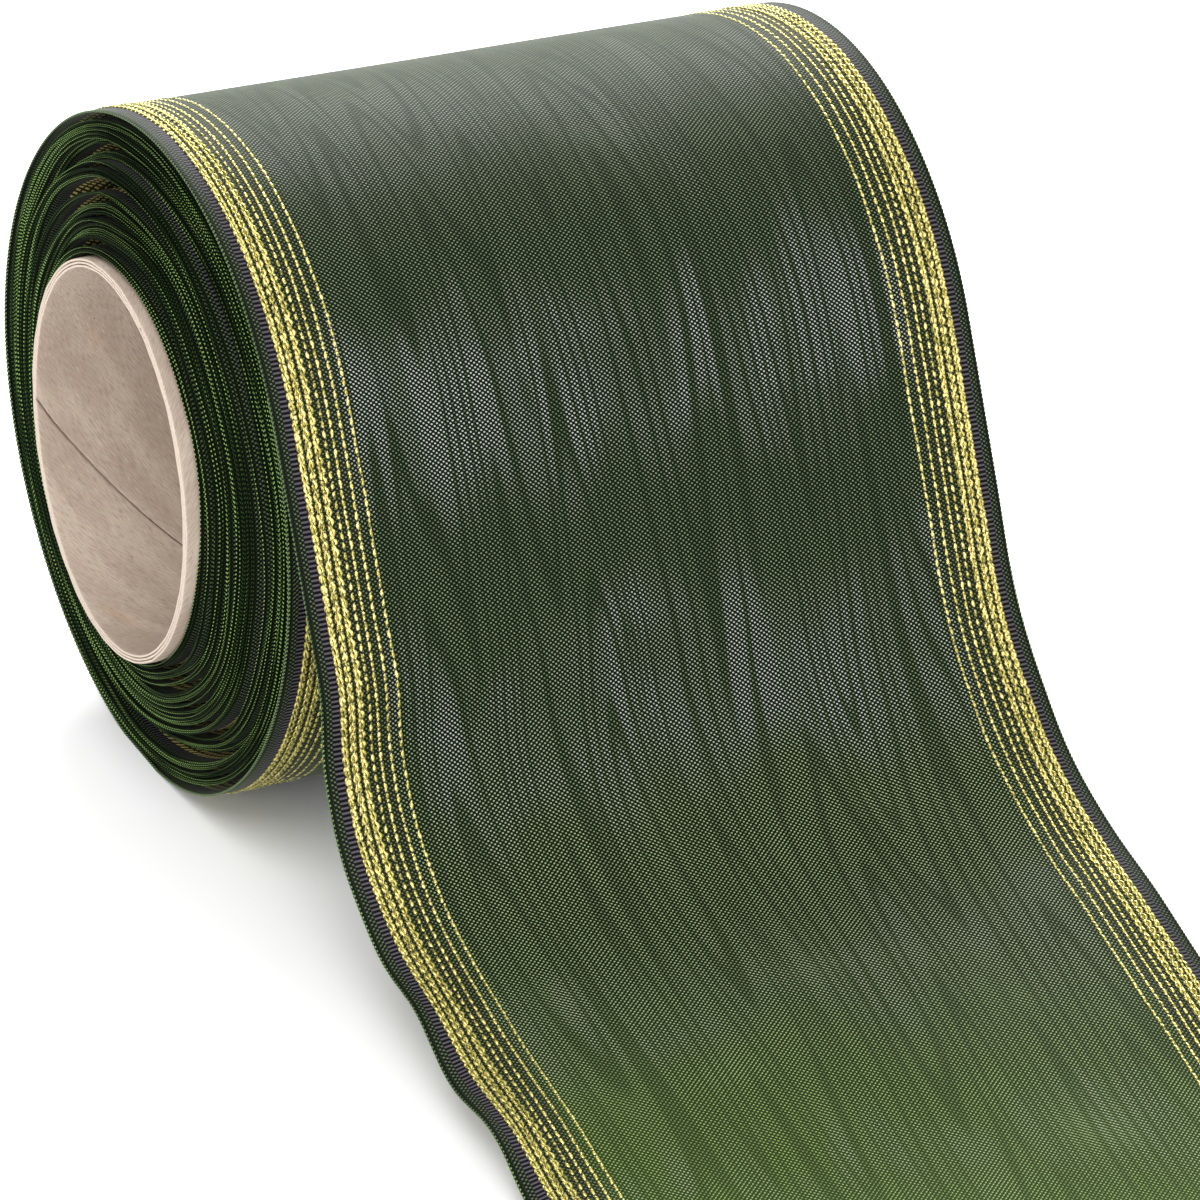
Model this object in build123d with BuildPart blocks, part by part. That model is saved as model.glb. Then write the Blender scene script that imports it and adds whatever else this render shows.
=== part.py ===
"""Roll of moire ribbon on a spiral-wound paperboard core, with its free end run out.

Frame: origin in the middle of the core's bore, half way across the ribbon, +X along
the bore towards the roll's right-hand end, +Z up. The roll stands on the flat under
its outermost turn, and the free end runs off the front, towards -Y, to the floor.
All sizes are in millimetres.
"""

from build123d import *
from math import asin, cos, degrees, radians, sin, sqrt
import os

# ---- driving dimensions: ribbon ----
ribbon_width = 100.0
ribbon_thick = 0.25
border_width = 2.4  # plain-coloured woven border along each selvedge
gold_width = 8.7  # band of metallic warp threads inside each border
# ---- driving dimensions: core ----
bore_radius = 26.0
ply_thick = 0.42
core_length = 102.0
core_left_x = -56.0  # the core and the inner turns stand out of the roll's left end
seam_pitch = 115.0  # axial advance of a ply's butt seam in one full turn
seam_gap = 0.35
seam_start = -1.2  # sketch angle of the inner ply's seam where its cutter starts
seam_overrun = 2.0  # the seam's cutter runs this far past both ends of the core
seam_stagger = 120.0  # degrees between the seams of neighbouring plies
# ---- driving dimensions: winding ----
roll_radius = 46.2  # over the outermost turn
stand_height = 45.9  # bore axis to the flat the roll stands on
pitch = 0.415  # radial growth per turn, slack included
stages = 4  # groups of turns, each a little further right than the one inside it
half_turns_per_stage = 21
inner_stage_x = -4.6  # sideways shift of the innermost group
takeoff_angle = 29.5  # where the free end leaves the roll, above the front horizontal
tuck_lap = 6.5  # how far the outermost turn's hidden end runs in under the take-off
tuck_radius = 45.85  # over that hidden end
# ---- driving dimensions: starting tape ----
tape_thick = 0.10
tape_width = 25.0
tape_sweep = 40.0
# ---- driving dimensions: free end ----
lead_length = 36.0  # straight stretch that stays with the outermost turn
hinge_gap = 0.3
run_length = 8.0  # straight stretch before the free end bends outwards
bend_radius = 30.0
fall_angle = 11.5  # slope of the long falling stretch, below the horizontal
landing_radius = 60.0
laid_length = 40.0  # stretch that lies on the floor
floor_clearance = 0.05

# ---- derived dimensions ----
core_radius = bore_radius + 3 * ply_thick
winding_gap = 0.02
start_radius = core_radius + tape_thick + winding_gap + ribbon_thick / 2 + pitch / 4
start_angle = 180 - takeoff_angle - tuck_lap - 1  # sketch angle where the winding starts
takeoff_sketch_angle = 180 - takeoff_angle
tuck_middle_angle = 210.0
half_width = ribbon_width / 2
floor_z = -stand_height

zones = [
    ("selvedge_left", -half_width, border_width),
    ("gold_left", -half_width + border_width, gold_width),
    ("ground", -half_width + border_width + gold_width, ribbon_width - 2 * (border_width + gold_width)),
    ("gold_right", half_width - border_width - gold_width, gold_width),
    ("selvedge_right", half_width - border_width, border_width),
]


def polar(radius, sketch_angle):
    """A point of the YZ sketch plane, its angle counted from +Y towards +Z."""
    return (radius * cos(radians(sketch_angle)), radius * sin(radians(sketch_angle)))


os.makedirs("parts", exist_ok=True)

# ---- core: three plies of paper strip, each wound with an open helical butt seam ----
for index, ply_name in enumerate(["inner", "middle", "outer"]):
    inner_radius = bore_radius + index * ply_thick
    with BuildPart() as ply:
        with BuildSketch(Plane.YZ.offset(core_left_x)):
            Circle(inner_radius + ply_thick)
            Circle(inner_radius, mode=Mode.SUBTRACT)
        extrude(amount=core_length)
        seam_radius = inner_radius + ply_thick / 2
        seam_turn = (0, 0, seam_start + index * seam_stagger)
        seam_plane = Plane.YZ.offset(core_left_x - seam_overrun).rotated(seam_turn)
        with BuildLine(seam_plane):
            seam_height = core_length + 2 * seam_overrun
            seam = Helix(pitch=seam_pitch, height=seam_height, radius=seam_radius, lefthand=True)
        with BuildSketch(Plane(origin=seam @ 0, x_dir=(seam @ 0) - seam_plane.origin, z_dir=seam % 0)):
            Rectangle(3 * ply_thick, seam_gap)
        sweep(path=seam, is_frenet=True, mode=Mode.SUBTRACT)
    ply.part.label = f"core_{ply_name}_ply"
    export_step(ply.part, f"parts/core_{ply_name}_ply.step")

# ---- starting tape: holds the ribbon's first end to the core ----
with BuildPart() as start_tape:
    with BuildSketch(Plane.YZ.offset(core_left_x + core_length / 2 - tape_width / 2)):
        with BuildLine():
            inner_arc = CenterArc((0, 0), core_radius, start_angle, tape_sweep)
            outer_arc = CenterArc((0, 0), core_radius + tape_thick, start_angle, tape_sweep)
            Line(inner_arc @ 0, outer_arc @ 0)
            Line(inner_arc @ 1, outer_arc @ 1)
        make_face()
    extrude(amount=tape_width)
start_tape.part.label = "start_tape"
export_step(start_tape.part, "parts/start_tape.step")

# ---- wound ribbon: a spiral of half turns about two centres a half pitch apart ----
with BuildPart() as wound_ribbon:
    for stage in range(stages):
        stage_x = -half_width + inner_stage_x * (1 - stage / stages)
        first = stage * half_turns_per_stage
        with BuildSketch(Plane.YZ.offset(stage_x)):
            with BuildLine():
                inner_arcs, outer_arcs = [], []
                for k in range(first, first + half_turns_per_stage):
                    centre = polar(pitch / 4 * (-1 if k % 2 == 0 else 1), start_angle)
                    radius = start_radius + k * pitch / 2
                    begin = start_angle + 180 * (k % 2)
                    inner_arcs.append(CenterArc(centre, radius - ribbon_thick / 2, begin, 180))
                    outer_arcs.append(CenterArc(centre, radius + ribbon_thick / 2, begin, 180))
                Line(inner_arcs[0] @ 0, outer_arcs[0] @ 0)
                Line(inner_arcs[-1] @ 1, outer_arcs[-1] @ 1)
            make_face()
        extrude(amount=ribbon_width)
wound_ribbon.part.label = "wound_ribbon"
export_step(wound_ribbon.part, "parts/wound_ribbon.step")

# ---- outermost turn, and the straight lead that leaves it at the take-off ----
def turn_face(depth):
    """One face of the turn and lead, at a depth under its outer face: (first edge, last edge)."""
    radius, height = roll_radius - depth, stand_height - depth
    flat_half_width = sqrt(radius**2 - height**2)
    flat_end_angle = -degrees(asin(height / radius))
    tuck = ThreePointArc(
        polar(tuck_radius - depth, takeoff_sketch_angle - tuck_lap),
        polar((tuck_radius + roll_radius) / 2 - depth, tuck_middle_angle),
        (-flat_half_width, -height),
    )
    Line(tuck @ 1, (flat_half_width, -height))
    wrap = CenterArc((0, 0), radius, flat_end_angle, takeoff_sketch_angle - flat_end_angle)
    return tuck, Line(wrap @ 1, wrap @ 1 + (wrap % 1) * lead_length)


with BuildSketch(Plane.YZ) as turn_profile:
    with BuildLine():
        tuck_outer, lead = turn_face(0)
        tuck_inner, lead_inner = turn_face(ribbon_thick)
        Line(tuck_outer @ 0, tuck_inner @ 0)
        Line(lead @ 1, lead_inner @ 1)
    make_face()

# ---- free end: runs on from the lead, bends outwards, falls and lies on the floor ----
with BuildSketch(Plane.YZ) as tail_profile:
    with BuildLine():
        run = PolarLine(lead @ 1 + (lead % 1) * hinge_gap, run_length, direction=lead % 1)
        bend = JernArc(run @ 1, run % 1, bend_radius, fall_angle - (90 - takeoff_angle))
        laid_z = floor_z + floor_clearance + ribbon_thick
        landing_drop = landing_radius * (1 - cos(radians(fall_angle)))
        fall_length = ((bend @ 1).Y - laid_z - landing_drop) / sin(radians(fall_angle))
        fall = PolarLine(bend @ 1, fall_length, direction=bend % 1)
        landing = JernArc(fall @ 1, fall % 1, landing_radius, -fall_angle)
        laid = PolarLine(landing @ 1, laid_length, direction=landing % 1)
        offset(amount=ribbon_thick, side=Side.LEFT, kind=Kind.INTERSECTION)
    make_face()

# ---- the ribbon's zones: woven borders, metallic bands and moire ground ----
for stretch, profile in [("outer_turn", turn_profile), ("tail", tail_profile)]:
    for zone_name, zone_x, zone_width in zones:
        with BuildPart() as zone:
            add(Location((zone_x, 0, 0)) * extrude(profile.sketch, amount=zone_width, mode=Mode.PRIVATE))
        zone.part.label = f"{stretch}_{zone_name}"
        export_step(zone.part, f"parts/{stretch}_{zone_name}.step")

hinge_point = lead @ 1 + (lead % 1) * (hinge_gap / 2)
print("tail hinge at Y", round(hinge_point.X, 3), "Z", round(hinge_point.Y, 3))
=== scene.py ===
"""Roll of moire ribbon on a paperboard core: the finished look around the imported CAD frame.

Lengths are in millimetres until a mesh is written, and MM turns them into metres.
The ribbon has its own coordinates, kept as UVs in millimetres: u across it from its left
selvedge, and v along it. Angles round the roll (turn angles) are counted from the front
horizontal upwards, so the ribbon runs outwards with its turn angle falling.
"""

import math

import bpy
import numpy as np
from mathutils import Matrix, Vector


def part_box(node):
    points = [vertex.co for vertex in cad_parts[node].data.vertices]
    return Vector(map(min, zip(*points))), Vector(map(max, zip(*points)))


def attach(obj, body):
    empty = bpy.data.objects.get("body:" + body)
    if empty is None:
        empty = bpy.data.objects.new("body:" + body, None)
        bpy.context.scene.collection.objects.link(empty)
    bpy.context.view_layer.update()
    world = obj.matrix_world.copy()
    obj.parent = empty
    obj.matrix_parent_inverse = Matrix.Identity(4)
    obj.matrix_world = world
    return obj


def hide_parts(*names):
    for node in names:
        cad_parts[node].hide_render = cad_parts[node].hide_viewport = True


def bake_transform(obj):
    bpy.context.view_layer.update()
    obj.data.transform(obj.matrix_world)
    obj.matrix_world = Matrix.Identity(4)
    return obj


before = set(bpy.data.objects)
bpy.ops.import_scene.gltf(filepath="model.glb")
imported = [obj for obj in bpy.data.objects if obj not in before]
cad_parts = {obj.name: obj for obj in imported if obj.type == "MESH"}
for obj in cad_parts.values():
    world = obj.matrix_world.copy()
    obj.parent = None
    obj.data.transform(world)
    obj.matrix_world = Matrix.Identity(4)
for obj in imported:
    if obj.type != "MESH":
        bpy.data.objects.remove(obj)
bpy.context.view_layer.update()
MM = 0.001
FULL_TURN = 2 * math.pi


def box_mm(node):
    """Lowest and highest corner of a CAD node, in millimetres."""
    low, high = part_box(node)
    return np.array(low) / MM, np.array(high) / MM


# ---- sizes read from the frame ----
TURN_LOW, TURN_HIGH = box_mm("outer_turn_ground")
HALF_WIDTH = box_mm("outer_turn_selvedge_right")[1][0]
WIDTH = 2 * HALF_WIDTH
BORDER = WIDTH / 2 - abs(box_mm("outer_turn_gold_left")[0][0])
ROLL_RADIUS, FLOOR_Z = TURN_HIGH[2], TURN_LOW[2]
CORE_LOW, CORE_HIGH = box_mm("core_outer_ply")
TAIL_END_Y = box_mm("tail_ground")[0][1]

# ---- ribbon ----
THICK = 0.25
WARP_PITCH, WEFT_PITCH = 0.37, 0.31  # thread to thread, across and along the ribbon
WEAVE_U, WEAVE_V = 2 * WARP_PITCH, 2 * WEFT_PITCH  # the plain weave repeats every two threads
GOLD_PITCH = 1.3  # one float of a metallic thread, along the ribbon
# metallic threads: (distance from the border, sideways swing); the two of a pair swing apart
GOLD_PAIRS = [(0.45, 0.24), (1.6, 0.30), (2.9, 0.27)]
GOLD_SINGLES = [(4.1, 0.05), (5.2, -0.05), (6.6, 0.05), (8.2, -0.05)]
MOIRE_PITCH = 43.0  # from one lustrous band of the watermark to the next
# ---- winding ----
TAKEOFF, TUCK = 29.5, 36.0  # turn angles of the take-off and of the outermost turn's hidden end
TUCK_RADIUS = 45.85
TUCK_BLEND_END = 83  # degrees below the front where the turn reaches its full radius
LEAD_LENGTH = 36.0
BACK_DRIFT = -2.0  # how far left the outermost turn wanders at the roll's back
DRIFT_MIDDLE, DRIFT_REACH = -185, 62  # turn angle of the middle of that drift, and its spread
TURNS, TURN_PITCH = 42, 0.415
COIL_THICK, COIL_START = 0.20, 27.62
# ---- free end ----
FLOOR_CLEARANCE = 0.05
LEFT_LIP, RIGHT_LIP = 3.2, 3.5  # how far in from its selvedges the cloth curls down
CUP_LENGTH, CUP_MIDDLE = 24, 54  # the left lip's waves: their length, and how far one is past the lead
# ---- core ----
PLIES = ["inner", "middle", "outer"]
PLY_THICK = 0.42
SEAM_PITCH = 115.0  # along the core, in one turn of a ply's seam
SEAM_GAP = 0.5715  # between a ply's two long edges, measured round the core
SEAM_START = 187.5  # turn angle of the inner ply's seam at the core's left end
SEAM_STAGGER = 120  # degrees from one ply's seam to the next ply's
END_TILT = 0.35  # the core is cut a little out of square: its front stands out by this much

SIDES = ("left", "right")
rng = np.random.default_rng(7)


def smoothstep(x, low, high):
    """0 at low, 1 at high and smooth between; low may be the larger of the two."""
    t = np.clip((x - low) / (high - low), 0, 1)
    return t * t * (3 - 2 * t)


# ================================ meshes ================================


def new_object(name, data):
    """An object of the data, in the scene."""
    obj = bpy.data.objects.new(name, data)
    bpy.context.scene.collection.objects.link(obj)
    return obj


def mesh_object(name, points, faces, uv):
    """A smooth object from vertices in millimetres, with one UV pair (in millimetres) for each."""
    mesh = bpy.data.meshes.new(name)
    mesh.from_pydata((points * MM).tolist(), [], faces)
    layer = mesh.uv_layers.new(name="weave")
    corners = np.empty(len(mesh.loops), int)
    mesh.loops.foreach_get("vertex_index", corners)
    layer.data.foreach_set("uv", uv.astype(np.float32)[corners].ravel())
    mesh.polygons.foreach_set("use_smooth", [True] * len(mesh.polygons))
    return new_object(name, mesh)


def ring_quads(rows, loop):
    """Quads between neighbouring rows of a grid whose rows are closed loops."""
    here = np.arange(rows * loop).reshape(rows, loop)
    there = np.roll(here, -1, axis=1)
    return np.stack([here[:-1], here[1:], there[1:], there[:-1]], axis=-1).reshape(-1, 4)


def closed_strip(grid, uv):
    """Faces of a strip whose rows are closed loops: (vertices, quads, uvs), with both ends capped.

    grid is rows x loop x 3. The caps join the loop's two halves, so they stay flat quads.
    """
    rows, loop, _ = grid.shape
    first_cap = np.array([[k, k + 1, loop - 2 - k, loop - 1 - k] for k in range(loop // 2 - 1)])
    last_cap = first_cap[:, ::-1] + (rows - 1) * loop
    quads = np.concatenate([ring_quads(rows, loop), first_cap, last_cap])
    return grid.reshape(-1, 3), quads, uv.reshape(-1, 2)


def strip_object(name, grid, uv):
    """An object from a closed strip of vertices in millimetres."""
    points, quads, uvs = closed_strip(grid, uv)
    return mesh_object(name, points, quads.tolist(), uvs)


def grid_uv(u, v):
    """UVs of a grid that has u along its rows and v from row to row."""
    return np.stack(np.broadcast_arrays(u[None, :], v[:, None]), axis=-1)


def catmull_rom(points):
    """A smooth line through the points, sampled 24 times between one and the next."""
    p = np.asarray(points, float)
    p = np.vstack([2 * p[0] - p[1], p, 2 * p[-1] - p[-2]])
    t = np.linspace(0, 1, 24, endpoint=False)[:, None]
    spans = []
    for a, b, c, d in zip(p[:-3], p[1:-2], p[2:-1], p[3:]):
        spans.append(0.5 * (2 * b + (c - a) * t + (2 * a - 5 * b + 4 * c - d) * t**2
                            + (3 * b - a - 3 * c + d) * t**3))
    return np.vstack(spans + [p[-2:-1]])


def along(line):
    """Distance along a line at each of its points."""
    return np.concatenate([[0], np.cumsum(np.linalg.norm(np.diff(line, axis=0), axis=1))])


# ======================= the outermost turn and the free end =======================


def on_turn(angle, radius):
    """(y, z) at a turn angle, in degrees."""
    a = np.radians(angle)
    return np.stack([-radius * np.cos(a), radius * np.sin(a)], axis=-1)


def turn_line():
    """Outer face of the outermost turn, from its hidden end to the take-off, flat on the floor."""
    angle = np.linspace(TUCK, TAKEOFF - 360, 900)
    settled = smoothstep(-angle, -TUCK, TUCK_BLEND_END)
    line = on_turn(angle, TUCK_RADIUS + (ROLL_RADIUS - TUCK_RADIUS) * settled)
    line[:, 1] = np.maximum(line[:, 1], FLOOR_Z)
    return line


TURN_LINE = turn_line()
TAKEOFF_POINT = TURN_LINE[-1]
LEAD_WAY = np.array([-math.sin(math.radians(TAKEOFF)), -math.cos(math.radians(TAKEOFF))])
LAID_Z = FLOOR_Z + THICK + FLOOR_CLEARANCE

# the free end's two selvedges, as (y, z): the left one hangs lower
LEAD_POINTS = [TAKEOFF_POINT + LEAD_WAY * distance for distance in (0, 12, 24, 34)]
LEFT_EDGE = LEAD_POINTS + [
    (-59.2, -16.4), (-64.6, -25.0), (-73.0, -30.8), (-84.0, -34.4), (-97.0, -37.2), (-112.0, -39.8),
    (-130.0, -43.2), (-150.0, LAID_Z), (-172.0, LAID_Z), (-196.0, LAID_Z), (TAIL_END_Y, LAID_Z)]
RIGHT_EDGE = LEAD_POINTS + [
    (-61.6, -12.9), (-68.0, -18.6), (-77.0, -24.8), (-89.0, -29.4), (-103.0, -32.2), (-119.0, -36.2),
    (-137.0, -41.2), (-155.0, -44.7), (-174.0, LAID_Z), (-196.0, LAID_Z), (TAIL_END_Y, LAID_Z)]


def run_edge(points):
    """One selvedge from the hidden end to the cut end, sampled at equal shares of each stretch."""
    free = catmull_rom(points)
    at = along(free)
    samples = np.linspace(0, 1, 1600) * at[-1]
    free = np.stack([np.interp(samples, at, free[:, k]) for k in range(2)], axis=1)
    return np.vstack([TURN_LINE[:-1], free])


EDGES = run_edge(LEFT_EDGE), run_edge(RIGHT_EDGE)
MIDDLE = (EDGES[0] + EDGES[1]) / 2
RUN_AT = along(MIDDLE)
RUN_LENGTH = RUN_AT[-1]
TURN_LENGTH = along(TURN_LINE)[-1]
LEAD_END = TURN_LENGTH + LEAD_LENGTH


def on_run(s, line):
    """y and z at s along the run, from a line with the same samples as its selvedges."""
    return np.stack([np.interp(s, RUN_AT, line[:, k]) for k in range(2)])


def run_lift(s, u):
    """How far the cloth stands out of its even sweep: curled lips, waves and slight puckers."""
    free = smoothstep(s, TURN_LENGTH + 20, TURN_LENGTH + 60)
    landed = smoothstep(s, RUN_LENGTH - 75, RUN_LENGTH - 45)
    left_lip = np.exp(-u / LEFT_LIP)
    right_lip = np.exp(-(WIDTH - u) / RIGHT_LIP)
    cups = np.cos(FULL_TURN * (s - LEAD_END - CUP_MIDDLE) / CUP_LENGTH)
    cups = cups * smoothstep(s, LEAD_END + 20, LEAD_END + 45)
    lips = -(0.9 + 1.1 * cups) * left_lip + (0.25 * np.sin(s / 6.5) - 0.6) * right_lip
    waves = 0.22 * np.sin(s / 9.0 + u / 17.0) + 0.18 * np.sin(u / 8.5 - s / 23.0)
    puckers = 0.04 * np.sin(s / 7.0) * np.sin(u / 9.0) * (s > 12)
    return free * (1 - landed) * (lips + waves) + (1 - free) * puckers


def run_surface(s, u, depth=0.0):
    """Points of the run at s along it and u across it, at a depth under its outer face."""
    s, u = np.broadcast_arrays(np.asarray(s, float), np.asarray(u, float))
    share = np.clip(u / WIDTH, 0, 1)
    sweep = on_run(s, EDGES[0]) * (1 - share) + on_run(s, EDGES[1]) * share
    heading = on_run(s, np.gradient(MIDDLE, axis=0))
    heading /= np.linalg.norm(heading, axis=0)
    out = np.stack([heading[1], -heading[0]])  # the outer face's normal, away from the roll
    y, z = sweep + out * (run_lift(s, u) - depth)
    on_roll = s < TURN_LENGTH
    z = np.maximum(z, np.where(on_roll, FLOOR_Z + depth, FLOOR_Z + THICK - depth))
    turn_angle = TUCK - (TUCK - TAKEOFF + 360) * s / TURN_LENGTH
    drift = BACK_DRIFT * np.exp(-(((turn_angle - DRIFT_MIDDLE) / DRIFT_REACH) ** 2)) * on_roll
    return np.stack([u - HALF_WIDTH + drift, y, z], axis=-1)


def run_normal(s, u):
    """The outer face's normal at s along the run and u across it."""
    step = 0.05
    ds = run_surface(s + step, u) - run_surface(s - step, u)
    du = run_surface(s, u + step) - run_surface(s, u - step)
    n = np.cross(ds, du)
    return n / np.linalg.norm(n, axis=-1, keepdims=True)


def across():
    """Places across the ribbon: close together in the borders, about 2.3 mm apart between them."""
    lip = np.array([0, 0.25, 0.8, 1.5, 2.2, BORDER, 4.0, 5.5, 7.5, 9.5, 11.5])
    steps = int((WIDTH - 2 * lip[-1]) / 2.3)
    middle = np.linspace(lip[-1], WIDTH - lip[-1], steps + 1)[1:-1]
    return np.concatenate([lip, middle, (WIDTH - lip)[::-1]])


def build_run():
    """The outermost turn and free end: one sheet with both faces and its cut ends."""
    u = across()
    s = np.linspace(0, RUN_LENGTH, int(RUN_LENGTH / 1.25))
    top = run_surface(s[:, None], u[None, :])
    under = run_surface(s[:, None], u[None, ::-1], THICK)
    grid = np.concatenate([top, under], axis=1)
    return strip_object("ribbon_run", grid, grid_uv(np.concatenate([u, u[::-1]]), s))


def thread_mesh(name, strands):
    """Flattened threads laid on the run. A strand is (s, u, height, half width, half height) arrays."""
    points, faces, uvs, start = [], [], [], 0
    for s, u, height, half_width, half_height in strands:
        centre = run_surface(s, u)
        normal = run_normal(s, u)
        forward = np.gradient(centre, axis=0)
        forward /= np.linalg.norm(forward, axis=-1, keepdims=True)
        wide = np.cross(normal, forward) * half_width[:, None]
        tall = normal * half_height[:, None]
        centre = centre + normal * height[:, None]
        grid = np.stack([centre + wide, centre + tall, centre - wide, centre - tall], axis=1)
        uv = np.stack([np.repeat(u[:, None], 4, 1), np.repeat(s[:, None], 4, 1)], axis=-1)
        strand_points, strand_faces, strand_uvs = closed_strip(grid, uv)
        points.append(strand_points)
        faces.append(strand_faces + start)
        uvs.append(strand_uvs)
        start += len(strand_points)
    return mesh_object(name, np.concatenate(points), np.concatenate(faces).tolist(), np.concatenate(uvs))


def from_side(side, e):
    """u at a distance e in from the left or right selvedge."""
    return e if side == "left" else WIDTH - e


def build_gold(side):
    """The metallic threads of one edge: each floats over the weft and dips under it in turn."""
    s = np.arange(0.6, RUN_LENGTH - 0.3, GOLD_PITCH / 6)
    twins = [(place, swing * sign) for place, swing in GOLD_PAIRS for sign in (1, -1)]
    strands = []
    for k, (place, swing) in enumerate(twins + GOLD_SINGLES):
        paired = k < len(twins)
        phase = FULL_TURN * s / GOLD_PITCH + (1.3 * (k // 2) if paired else 1.9 * k)
        spread = 0.25 + 0.75 * (0.5 - 0.5 * np.cos(phase)) if paired else np.cos(phase / 2)
        wander = 0.05 * np.sin(s / 3.7 + 5 * k) + 0.04 * np.sin(s / 1.9 + 11 * k)
        u = from_side(side, BORDER + place + swing * spread + wander)
        ahead = 0.6 if swing > 0 else -0.6
        float_up = smoothstep(0.5 - 0.5 * np.cos(phase + ahead), 0.0, 0.75)
        sunk = 0.0 if paired else 0.09
        half_width = (0.13 + 0.11 * float_up) if paired else (0.07 + 0.20 * float_up)
        strands.append((s, u, 0.12 * float_up - sunk, half_width, 0.05 + 0.05 * float_up))
    return thread_mesh(f"gold_threads_{side}", strands)


def build_picots(side):
    """The weft's turning loops along one selvedge: one for every two weft threads."""
    s = np.arange(0.4, RUN_LENGTH - 0.2, WEAVE_V / 4)
    bulge = 0.5 + 0.5 * np.cos(FULL_TURN * s / WEAVE_V)
    u = from_side(side, 0.08 - 0.16 * bulge)
    one = np.ones_like(s)
    return thread_mesh(f"picot_{side}", [(s, u, -THICK / 2 * one, 0.11 * one, 0.12 + 0.05 * bulge)])


# ================================ the wound ribbon ================================

# (turn, sideways place of its left selvedge there): groups of turns lie in steps
STEPS = [(0, -54.7), (1.8, -54.6), (2.2, -54.3), (3.8, -54.1), (4.2, -53.3), (8.0, -52.9), (9.5, -52.5),
         (12.5, -52.4), (13.2, -52.1), (19.6, -51.8), (20.2, -51.6), (22.6, -51.4), (23.2, -51.4),
         (24.9, -51.4), (25.3, -49.4), (28.4, -49.3), (28.9, -48.5), (31.8, -48.5), (32.4, -49.7),
         (38.6, -49.6), (39.2, -49.3), (42, -49.3)]
# (turn after which the selvedges part, how wide that parting is compared with the others)
PARTINGS = [(0.9, 0.9), (2.3, 1.0), (4.1, 1.2), (6.5, 0.7), (8.4, 0.9), (10.7, 1.0), (12.9, 1.3),
            (15.2, 0.6), (17.6, 0.8), (19.8, 0.9), (22.5, 1.1), (25.1, 0.8), (27.3, 0.7), (29.8, 1.0),
            (32.2, 1.2), (34.4, 0.6), (36.6, 0.7), (38.9, 1.2), (40.7, 0.8)]
SAMPLES = 80  # round one turn
CLOSEST = 0.23  # least distance from turn to turn
PARTING_REACH = 0.62  # turns from the middle of a parting to its ends
FIRST_END_SKEW = 1.0  # how far right the ribbon's first end was laid on askew
PLACE_JITTER = 0.22  # how far a single turn stands out of or into its group, at most
BUNCHED_REACH = 16  # how far in from its selvedges the ribbon lies bunched or parted


def parted_radii(turn, angle, phases):
    """Radius of each sample where the turns bunch together: rising outwards at every angle."""
    a = np.radians(angle)
    gap = np.zeros_like(turn)
    for (place, most), (p1, p2, p3) in zip(PARTINGS, phases):
        strength = most * np.clip(1 + 0.75 * np.sin(a + p1) + 0.55 * np.sin(2 * a + p2)
                                  + 0.35 * np.sin(7 * a + p3), 0.04, None)
        near = np.clip(np.abs(turn - place) / PARTING_REACH, 0, 1)
        gap += strength * np.cos(math.pi / 2 * near) ** 2
    gap = gap[:-1].reshape(TURNS, SAMPLES)
    gap[0] = 0
    spare = (TURN_PITCH - CLOSEST) * (TURNS - 1)
    gap = gap * spare / gap.sum(axis=0)
    gap[1:] += CLOSEST
    first = COIL_START + TURN_PITCH * turn[:SAMPLES]
    radius = first + np.cumsum(gap, axis=0)
    return np.append(radius.ravel(), COIL_START + TURN_PITCH * TURNS)


def selvedge_place(turn, angle):
    """Sideways place of the left selvedge: stepped, uneven, and further left at the roll's back."""
    a = np.radians(angle)
    place = np.interp(turn, *np.transpose(STEPS))
    jitter = rng.uniform(-PLACE_JITTER, PLACE_JITTER, TURNS + 1)
    place = place + np.interp(turn, np.arange(TURNS + 1), jitter)
    place = place + FIRST_END_SKEW * (1 - smoothstep(turn, 0, 0.12))
    place = place + 0.10 * np.sin(a * 1.37 + 1) + 0.07 * np.sin(a * 3.11) + 0.05 * np.sin(a * 7.3)
    at_back = 0.5 - 0.5 * np.cos(a)
    return place - (0.5 + 2.0 * smoothstep(turn, 6, 30)) * at_back


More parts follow.
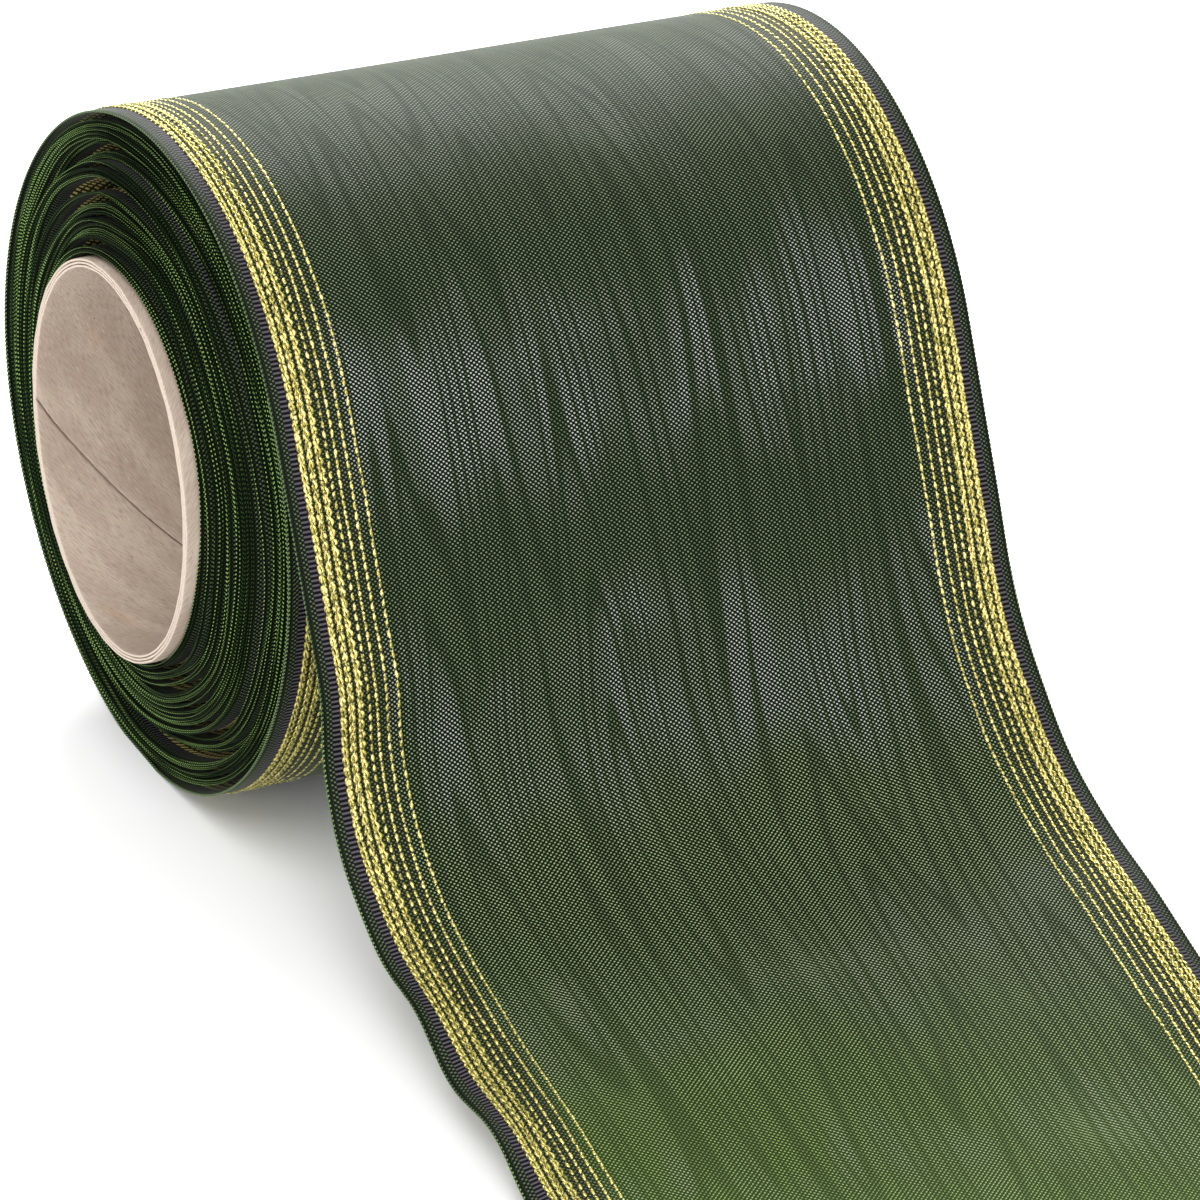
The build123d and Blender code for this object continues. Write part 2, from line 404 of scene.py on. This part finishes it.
def build_coil():
    """All the turns under the outermost one: a spiral sheet, its selvedges bunched and stepped."""
    turn = np.arange(TURNS * SAMPLES + 1) / SAMPLES
    angle = TUCK + 1 - 360 * turn
    even = COIL_START + TURN_PITCH * turn
    ends = [parted_radii(turn, angle, rng.uniform(0, FULL_TURN, (len(PARTINGS), 3))) for _ in SIDES]
    place = selvedge_place(turn, angle)
    v = along(on_turn(angle, even))
    # places across the two faces, in percent of the width: close together at the selvedges
    outer_u = np.array([0, 0.3, 1.2, 2.2, 3.2, 4.6, 7, 11, 18, 50, 82, 89, 93, 96, 98, 99.7, 100])
    inner_u = np.array([99.7, 99.4, 98, 95, 88, 50, 12, 5, 2, 0.6, 0.3])
    faces = []
    for percent, depth in ((outer_u, 0.0), (inner_u, COIL_THICK)):
        u = percent * WIDTH / 100
        left = 1 - smoothstep(u, 0, BUNCHED_REACH)
        right = 1 - smoothstep(WIDTH - u, 0, BUNCHED_REACH)
        middle = 1 - left - right
        r = ends[0][:, None] * left + ends[1][:, None] * right + even[:, None] * middle - depth
        x = place[:, None] + u[None, :]
        faces.append(np.concatenate([x[..., None], on_turn(angle[:, None], r)], axis=-1))
    grid = np.concatenate(faces, axis=1)
    rows, loop, _ = grid.shape
    uv = grid_uv(np.concatenate([outer_u, inner_u]) * WIDTH / 100, v)
    first_cap = list(range(loop))
    last_cap = list(range(rows * loop - 1, (rows - 1) * loop - 1, -1))
    quads = ring_quads(rows, loop).tolist() + [first_cap, last_cap]
    return mesh_object("wound_turns", grid.reshape(-1, 3), quads, uv.reshape(-1, 2)), v[-1]


# ================================ the core ================================


def build_ply(index):
    """One ply: a strip wound as a helix, its two long edges a little apart, its ends rounded off."""
    low, high = box_mm(f"core_{PLIES[index]}_ply")
    outer = high[2]
    inner = outer - PLY_THICK
    # psi is the angle round from the middle of the seam, and x the place along the core
    half_gap = SEAM_GAP / 2 / inner
    flank = np.array([0, 0.005, 0.014, 0.028])
    between = np.linspace(0, FULL_TURN, 131)[3:-3]
    psi = np.concatenate([half_gap + flank, between, FULL_TURN - half_gap - flank[::-1]])
    edge = np.array([0, 0.12, 0.35, 0.9, 2.0])
    x = np.concatenate([low[0] + edge, np.linspace(low[0] + 3, high[0] - 3, 60), high[0] - edge[::-1]])
    advance = (x[:, None] - low[0]) / SEAM_PITCH * FULL_TURN
    angle = math.radians(SEAM_START - SEAM_STAGGER * index) + advance - psi[None, :]
    # the cut ends are rubbed round and a little ragged, and in the bore the seam's edges are rounded
    from_end = np.minimum(x - low[0], high[0] - x)[:, None]
    rim = 0.10 * np.exp(-from_end / 0.25)
    rough = 0.025 * np.sin(angle * 31 + 2 * index) * np.sin(angle * 13) * np.exp(-from_end / 0.5)
    seam_rim = 0.05 * (np.exp(-((psi - half_gap) / 0.02)) + np.exp(-((FULL_TURN - half_gap - psi) / 0.02)))
    outwards = np.sign(x[:, None] - (low[0] + high[0]) / 2)
    push = 0.05 * np.sin(angle * 23 + index) * np.sin(angle * 9 + 1) + END_TILT * np.cos(angle)
    ragged_x = x[:, None] + smoothstep(from_end, 3.0, 0.0) * outwards * push
    faces = []
    for r in (outer - rim + rough, inner + rim + seam_rim + rough):
        faces.append(np.stack([ragged_x, -r * np.cos(angle), r * np.sin(angle)], axis=-1))
    grid = np.concatenate([faces[0], faces[1][:, ::-1]], axis=1)
    arc = psi * (inner + outer) / 2
    return strip_object(f"core_ply_{PLIES[index]}", grid, grid_uv(np.concatenate([arc, arc[::-1]]), x))


# ================================ materials ================================

# colours are linear red, green and blue
GOLD_PALE, GOLD_DEEP = (0.97, 0.82, 0.31), (0.42, 0.37, 0.09)
# painted shade: the first of these is the darker, shaded gold used away from the take-off
GOLD_PAINTED_SHADE, GOLD_DIP = (0.42, 0.40, 0.10), (0.14, 0.14, 0.04)
# painted light: the free-end greens and the end's hole colour are painted brighter, a glow towards the
# free end
GREEN_ROLL, GREEN_FREE_PAINTED_LIGHT = (0.156, 0.199, 0.104), (0.272, 0.340, 0.160)
GREEN_END_PAINTED_GLOW, GREEN_LINE = (0.202, 0.304, 0.064), (0.045, 0.062, 0.030)
HOLE_ROLL, HOLE_END_PAINTED_GLOW = (0.001, 0.005, 0.001), (0.017, 0.035, 0.004)
# painted sheen: the pale grey of the watermark's lustrous bands
LUSTRE_PAINTED_SHEEN = (0.42, 0.44, 0.40)
RIB_DARK, RIB_PALE = (0.003, 0.002, 0.004), (0.074, 0.070, 0.080)
DOT_DARK, DOT_PALE = (0.003, 0.006, 0.002), (0.090, 0.116, 0.070)
EDGE_GROOVE = (0.004, 0.006, 0.003)
LOOP_DARK, LOOP_SHADED, LOOP_PALE = (0.001, 0.004, 0.001), (0.020, 0.040, 0.012), (0.200, 0.330, 0.095)
STRIPE_DARK, STRIPE_PALE = (0.006, 0.009, 0.004), (0.105, 0.125, 0.055)
PICOT_DARK, PICOT_PALE = (0.005, 0.010, 0.004), (0.085, 0.140, 0.050)
BOARD_DARK, BOARD_PALE = (0.385, 0.308, 0.248), (0.470, 0.387, 0.318)
FIBRE_DARK, FIBRE_PALE = (0.24, 0.185, 0.145), (0.60, 0.51, 0.43)
BOARD_STAIN, BOARD_SPECK, BOARD_RIM = (0.50, 0.30, 0.16), (0.10, 0.075, 0.06), (0.50, 0.42, 0.35)
TAPE_DARK, TAPE_PALE = (0.55, 0.47, 0.30), (0.75, 0.68, 0.48)
FLOOR_DARK, FLOOR_PALE = (0.95, 0.95, 0.95), (0.97, 0.97, 0.97)
SHEEN_TINT = (0.75, 0.85, 0.68, 1)


class Shader:
    """A node material in the making, with a Principled shader at its end."""

    def __init__(self, name):
        self.material = bpy.data.materials.new(name)
        self.material.use_nodes = True
        self.tree = self.material.node_tree
        self.surface = self.tree.nodes["Principled BSDF"]

    def add(self, kind, **settings):
        node = self.tree.nodes.new(kind)
        for key, value in settings.items():
            setattr(node, key, value)
        return node

    def feed(self, socket, value):
        """Links a socket into another, or sets it to a plain value."""
        if isinstance(value, bpy.types.NodeSocket):
            self.tree.links.new(value, socket)
        else:
            socket.default_value = value

    def math(self, operation, *values):
        node = self.add("ShaderNodeMath", operation=operation)
        for socket, value in zip(node.inputs, values):
            self.feed(socket, value)
        return node.outputs[0]

    def chain(self, operation, *values):
        """Any number of values, joined one after another by the same operation."""
        out = values[0]
        for value in values[1:]:
            out = self.math(operation, out, value)
        return out

    def ramp(self, value, low, high):
        """0 at low, 1 at high and smooth between; low may be the larger of the two."""
        node = self.add("ShaderNodeMapRange", interpolation_type="SMOOTHSTEP")
        for socket, item in zip(node.inputs, (value, low, high, 0.0, 1.0)):
            self.feed(socket, item)
        return node.outputs[0]

    def uv(self):
        """u and v of the place, in millimetres."""
        split = self.add("ShaderNodeSeparateXYZ")
        self.feed(split.inputs[0], self.add("ShaderNodeUVMap", uv_map="weave").outputs[0])
        return split.outputs[0], split.outputs[1]

    def object_place(self):
        """The place in the object's own coordinates, in metres."""
        return self.add("ShaderNodeTexCoord").outputs["Object"]

    def point(self, x, y, z=0.0):
        node = self.add("ShaderNodeCombineXYZ")
        for socket, value in zip(node.inputs, (x, y, z)):
            self.feed(socket, value)
        return node.outputs[0]

    def noise(self, vector, scale, detail):
        node = self.add("ShaderNodeTexNoise")
        self.feed(node.inputs["Vector"], vector)
        node.inputs["Scale"].default_value = scale
        node.inputs["Detail"].default_value = detail
        return node.outputs["Fac"]

    def grain(self, across, along_it, layer=0.0, detail=1.0):
        """Noise with grains of their own size each way: across and along_it are (place, size).

        Each layer has another pattern.
        """
        x, y = [self.math("DIVIDE", value, size) for value, size in (across, along_it)]
        return self.noise(self.point(x, y, layer), 1.0, detail)

    def mix(self, share, first, second):
        """One colour at share 0, the other at share 1; each is a socket or three numbers."""
        node = self.add("ShaderNodeMix", data_type="RGBA")
        self.feed(node.inputs[0], share)
        for socket, value in zip((node.inputs[6], node.inputs[7]), (first, second)):  # A and B as colours
            self.feed(socket, value if isinstance(value, bpy.types.NodeSocket) else (*value, 1))
        return node.outputs[2]

    def wave(self, value, period, phase=0.0):
        """A cosine from -1 to 1."""
        turns = self.math("MULTIPLY_ADD", value, FULL_TURN / period, phase)
        return self.math("COSINE", turns)

    def bump(self, height, strength, distance):
        """Roughens the surface; distance is in millimetres."""
        node = self.add("ShaderNodeBump")
        self.feed(node.inputs["Height"], height)
        node.inputs["Strength"].default_value = strength
        node.inputs["Distance"].default_value = distance * MM
        self.tree.links.new(node.outputs[0], self.surface.inputs["Normal"])

    def set(self, **values):
        for key, value in values.items():
            self.feed(self.surface.inputs[key.replace("_", " ")], value)
        return self.material


def watermark(sh, u, past):
    """The moire at a place: (its lustrous bands as painted sheen, how far it is off the dark lines, how
    far the weave leans).
    """
    warp = sh.grain((u, 13.0), (past, 50.0), 3.1)
    flames = sh.grain((u, 4.2), (past, 95.0), 8.7)
    patches = sh.grain((u, 15.0), (past, 13.0), 5.5)
    lines = sh.grain((u, 8.5), (past, 130.0), 1.4, 0.5)
    # lustrous bands across the ribbon, painted in as pale grey sheen, pulled out of line and torn into
    # lengthwise flames
    pull = sh.math("ADD", sh.math("MULTIPLY", warp, 34.0), sh.math("MULTIPLY", flames, 14.0))
    pulled = sh.chain("ADD", past, pull, -24.0)
    band = sh.ramp(sh.wave(pulled, MOIRE_PITCH), -0.75, 0.9)
    flame = sh.math("MULTIPLY_ADD", sh.ramp(flames, 0.34, 0.60), 0.55, 0.45)
    patch = sh.math("MULTIPLY_ADD", sh.ramp(patches, 0.34, 0.60), 0.6, 0.4)
    # thin dark lines like wood grain: contours of one noise, and one contour of the flames
    grained = sh.ramp(sh.wave(lines, 0.075), -1.0, -0.2)
    furrow = sh.ramp(sh.math("ABSOLUTE", sh.math("SUBTRACT", flames, 0.47)), 0.003, 0.022)
    off_lines = sh.math("MULTIPLY", grained, sh.math("MULTIPLY_ADD", furrow, 0.6, 0.4))
    # painted highlight: the watermark's sheen comes and goes slowly along the ribbon, at its brightest
    # just past the take-off at the roll's front and again every 172 mm, and the weave leans where it is
    # weak
    painted_highlight_envelope = sh.ramp(sh.wave(sh.math("SUBTRACT", past, 18.0), 172.0), -0.25, 0.45)
    strength = sh.math("MULTIPLY_ADD", painted_highlight_envelope, 0.70, 0.30)
    moire_painted_sheen = sh.chain("MULTIPLY", band, flame, patch, off_lines, strength)
    lean = sh.math("MULTIPLY", sh.math("SUBTRACT", patches, 0.5), sh.math("SUBTRACT", 1.6, painted_highlight_envelope))
    return moire_painted_sheen, off_lines, lean


def border_colour(sh, v, edge, weave):
    """From the selvedge inwards: green edge loops, a dark groove, a dotted strip, violet-black ribs."""
    border = sh.mix(sh.ramp(sh.wave(v, WEAVE_V), -0.3, 0.9), RIB_DARK, RIB_PALE)
    dotted = sh.mix(sh.ramp(weave, 0.0, 0.9), DOT_DARK, DOT_PALE)
    border = sh.mix(sh.ramp(edge, 1.5, 1.2), border, dotted)
    border = sh.mix(sh.ramp(edge, 0.55, 0.40), border, EDGE_GROOVE)
    # the loops of some turns lie back, in shade
    fades = sh.noise(sh.point(sh.math("DIVIDE", v, 38.0), 0.0, 2.6), 1.0, 1.0)
    loop_green = sh.mix(sh.ramp(fades, 0.42, 0.56), LOOP_SHADED, LOOP_PALE)
    loops = sh.mix(sh.ramp(sh.wave(v, WEAVE_V, 1.0), 0.0, 0.9), LOOP_DARK, loop_green)
    return sh.mix(sh.ramp(edge, 0.16, 0.10), border, loops)


def stripe_share(sh, v, edge):
    """How much metal there is at a place, 0 to 1, woven in under the modelled threads."""
    stripes = []
    for threads, reach in ((GOLD_PAIRS, 0.48), (GOLD_SINGLES, 0.15)):
        for place, _ in threads:
            off = sh.math("ABSOLUTE", sh.math("SUBTRACT", edge, BORDER + place))
            stripes.append(sh.ramp(off, reach, reach * 0.6))
    glint = sh.ramp(sh.wave(sh.math("MULTIPLY_ADD", edge, 0.9, v), GOLD_PITCH), -0.5, 0.8)
    return sh.math("MULTIPLY", sh.math("MINIMUM", sh.chain("ADD", *stripes), 1.0), glint)


def ribbon_material(name, gloss):
    """Moire taffeta with ribbed borders and metallic stripes; gloss scales how much it shines."""
    sh = Shader(name)
    u, v = sh.uv()
    edge = sh.math("MINIMUM", u, sh.math("SUBTRACT", WIDTH, u))  # distance from the nearer selvedge
    past = sh.math("SUBTRACT", v, TURN_LENGTH)  # distance beyond the run's take-off
    moire_painted_sheen, off_lines, lean = watermark(sh, u, past)
    # plain weave: thread crowns alternate with holes
    squares = sh.math("MULTIPLY", sh.wave(u, WEAVE_U), sh.wave(v, WEAVE_V))
    diagonals = sh.math("MULTIPLY", sh.wave(u, WEAVE_U, -math.pi / 2), sh.wave(v, WEAVE_V, -math.pi / 2))
    weave = sh.math("ADD", squares, sh.math("MULTIPLY", diagonals, lean))
    crown = sh.ramp(weave, 0.15, 0.88)
    # painted light: the ground is painted brighter beyond the take-off and a clearer, glowing green
    # towards the free end, as if lit where it lies on the floor
    painted_glow_towards_end = sh.ramp(sh.math("MULTIPLY_ADD", u, -0.3, past), LEAD_LENGTH + 20, LEAD_LENGTH + 95)
    plain = sh.mix(sh.ramp(past, 15.0, 70.0), GREEN_ROLL, GREEN_FREE_PAINTED_LIGHT)
    plain = sh.mix(painted_glow_towards_end, plain, GREEN_END_PAINTED_GLOW)
    plain = sh.mix(sh.math("MULTIPLY_ADD", off_lines, -0.45, 0.45), plain, GREEN_LINE)
    hole = sh.mix(painted_glow_towards_end, HOLE_ROLL, HOLE_END_PAINTED_GLOW)
    # painted sheen: the watermark's bands are mixed in as pale grey over the weave's crowns
    ground = sh.mix(crown, hole, sh.mix(moire_painted_sheen, plain, LUSTRE_PAINTED_SHEEN))
    striped_ground = sh.mix(crown, STRIPE_DARK, STRIPE_PALE)
    gold = stripe_share(sh, v, edge)
    body = sh.mix(sh.ramp(edge, BORDER + 8.6, BORDER + 5.0), ground, striped_ground)
    body = sh.mix(sh.ramp(edge, BORDER - 0.05, BORDER + 0.05), border_colour(sh, v, edge, weave), body)
    sh.bump(sh.math("MULTIPLY_ADD", gold, 0.6, weave), 0.35, 0.06)
    return sh.set(Base_Color=sh.mix(gold, body, GOLD_PALE), Metallic=sh.math("MULTIPLY", gold, 0.75),
                  Roughness=0.55, Specular_IOR_Level=0.06 * gloss, Sheen_Weight=0.11 * gloss,
                  Sheen_Roughness=0.30, Sheen_Tint=SHEEN_TINT)


def gold_material():
    """Metallised film thread: each float catches the light at its own strength."""
    sh = Shader("gold_lurex")
    u, v = sh.uv()
    floats = sh.grain((u, 1 / 2.1), (v, GOLD_PITCH), detail=0.0)
    dips = sh.ramp(sh.grain((u, 1 / 3.0), (v, 1 / 1.7)), 0.30, 0.52)
    colour = sh.mix(sh.ramp(floats, 0.35, 0.62), GOLD_DEEP, GOLD_PALE)
    # painted shade: the gold is painted darker away from the take-off, round the roll and along the free
    # end, so it shines brightest at the roll's front
    beyond = sh.ramp(v, TURN_LENGTH + 25, TURN_LENGTH + 95)
    behind = sh.ramp(v, TURN_LENGTH - 5, TURN_LENGTH - 50)
    gold_painted_shade = sh.math("MULTIPLY", sh.math("MAXIMUM", beyond, behind), 0.60)
    colour = sh.mix(gold_painted_shade, colour, GOLD_PAINTED_SHADE)
    sh.bump(sh.grain((u, 1 / 9.0), (v, 1 / 5.0)), 0.5, 0.05)
    return sh.set(Base_Color=sh.mix(dips, GOLD_DIP, colour), Metallic=0.85,
                  Roughness=sh.math("MULTIPLY_ADD", floats, 0.25, 0.16))


def picot_material():
    """Green weft loops with dark gaps."""
    sh = Shader("picot_thread")
    _, v = sh.uv()
    dots = sh.ramp(sh.wave(v, WEAVE_V), -0.4, 0.7)
    return sh.set(Base_Color=sh.mix(dots, PICOT_DARK, PICOT_PALE), Roughness=0.6,
                  Specular_IOR_Level=0.2, Sheen_Weight=0.1)


def board_material():
    """Grey kraft board: short fibres, a faint stain, dark specks and a paler rubbed rim."""
    sh = Shader("core_board")
    u, v = sh.uv()
    place = sh.point(u, v)
    fibres = sh.grain((u, 1 / 3.2), (v, 1 / 1.2), detail=4.0)
    cloud = sh.noise(place, 0.12, 3.0)
    stain = sh.noise(place, 0.055, 1.0)
    specks = sh.noise(place, 1.7, 1.0)
    base = sh.mix(sh.ramp(cloud, 0.35, 0.65), BOARD_DARK, BOARD_PALE)
    for spread, strength, colour in ((sh.ramp(fibres, 0.46, 0.72), 0.6, FIBRE_DARK),
                                     (sh.ramp(fibres, 0.42, 0.28), 0.5, FIBRE_PALE),
                                     (sh.ramp(stain, 0.66, 0.74), 0.25, BOARD_STAIN),
                                     (sh.ramp(specks, 0.74, 0.80), 0.75, BOARD_SPECK)):
        base = sh.mix(sh.math("MULTIPLY", spread, strength), base, colour)
    end = sh.math("MINIMUM", sh.math("SUBTRACT", v, CORE_LOW[0]), sh.math("SUBTRACT", CORE_HIGH[0], v))
    worn = sh.math("MULTIPLY_ADD", sh.math("SUBTRACT", fibres, 0.5), 0.7, end)
    sh.bump(sh.math("MULTIPLY_ADD", specks, 0.5, fibres), 0.4, 0.1)
    return sh.set(Base_Color=sh.mix(sh.ramp(worn, 0.22, 0.04), base, BOARD_RIM), Roughness=0.9,
                  Specular_IOR_Level=0.2)


def tape_material():
    """Clear yellowish tape with faint wrinkles."""
    sh = Shader("start_tape")
    wrinkles = sh.noise(sh.object_place(), 300.0, 3.0)
    sh.bump(wrinkles, 0.3, 0.1)
    return sh.set(Base_Color=sh.mix(wrinkles, TAPE_DARK, TAPE_PALE), Roughness=0.3)


def floor_material():
    """Nearly white and matt, slightly uneven."""
    sh = Shader("floor")
    tone = sh.noise(sh.object_place(), 3.0, 2.0)
    return sh.set(Base_Color=sh.mix(tone, FLOOR_DARK, FLOOR_PALE), Roughness=0.8)


def dress(obj, material):
    """Gives an object its one material."""
    obj.data.materials.clear()
    obj.data.materials.append(material)
    return obj


# ================================ the scene ================================


def build_camera():
    """The photograph's view: from the front left and above, slightly rolled."""
    azimuth, elevation, roll = map(math.radians, (27.3, 29.2, 3.26))
    distance, right_shift, up_shift = 1081.9, 14.8, -28.0
    ahead = Vector((math.sin(azimuth) * math.cos(elevation), math.cos(azimuth) * math.cos(elevation),
                    -math.sin(elevation)))
    level = Vector((math.cos(azimuth), -math.sin(azimuth), 0))
    upright = level.cross(ahead)
    right = level * math.cos(roll) + upright * math.sin(roll)
    up = upright * math.cos(roll) - level * math.sin(roll)
    place = (-ahead * distance + right * right_shift + up * up_shift) * MM
    turned = Matrix((right, up, -ahead)).transposed().to_4x4()
    camera = new_object("camera", bpy.data.cameras.new("camera"))
    camera.matrix_world = Matrix.Translation(place) @ turned
    camera.data.lens = 240
    camera.data.sensor_width = 36
    camera.data.clip_end = 20
    bpy.context.scene.camera = camera


def area_light(name, place, size, power):
    """A square lamp that faces the roll; place and size are in metres, power in watts."""
    light = bpy.data.lights.new(name, "AREA")
    light.energy = power
    light.size = size
    lamp = new_object(name, light)
    lamp.location = place
    lamp.rotation_euler = (-Vector(place)).to_track_quat("-Z", "Y").to_euler()


def build_studio():
    """White surround, large soft lamps and a pale floor."""
    world = bpy.data.worlds.new("studio")
    bpy.context.scene.world = world
    world.use_nodes = True
    background = world.node_tree.nodes["Background"]
    background.inputs["Color"].default_value = (1, 1, 1, 1)
    background.inputs["Strength"].default_value = 0.92
    area_light("key", (-0.4, -0.5, 0.9), 0.7, 6)
    area_light("back", (0.42, 0.85, 0.60), 0.6, 16.5)
    area_light("side", (0.9, -0.3, 0.5), 0.5, 3)
    area_light("fill", (-0.9, -0.45, 0.08), 0.6, 7)
    reach = 3.0  # metres from the roll to the floor's edges
    z = FLOOR_Z * MM
    mesh = bpy.data.meshes.new("floor")
    mesh.from_pydata([(-reach, -reach, z), (reach, -reach, z), (reach, reach, z), (-reach, reach, z)], [],
                     [(0, 1, 2, 3)])
    floor = dress(new_object("floor", mesh), floor_material())
    bpy.context.scene.view_settings.view_transform = "Standard"


def bend_with_tail(obj):
    """Bakes the piece's placement into its mesh."""
    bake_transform(obj)


build_camera()
build_studio()

run = dress(build_run(), ribbon_material("moire_ribbon", 1.0))
gold_thread = gold_material()
threads = [dress(build_gold(side), gold_thread) for side in SIDES]
picot_thread = picot_material()
picots = [dress(build_picots(side), picot_thread) for side in SIDES]
coil, coil_length = build_coil()
dress(coil, ribbon_material("wound_ribbon", 0.15))

for piece in [run, *threads, *picots]:
    bend_with_tail(piece)
zones = ("selvedge_left", "gold_left", "ground", "gold_right", "selvedge_right")
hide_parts(*[f"{stretch}_{zone}" for stretch in ("outer_turn", "tail") for zone in zones])

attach(coil, "roll")
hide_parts("wound_ribbon")

board = board_material()
for number, ply_name in enumerate(PLIES):
    ply = dress(build_ply(number), board)
    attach(ply, "roll")
    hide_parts(f"core_{ply_name}_ply")
dress(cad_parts["start_tape"], tape_material())
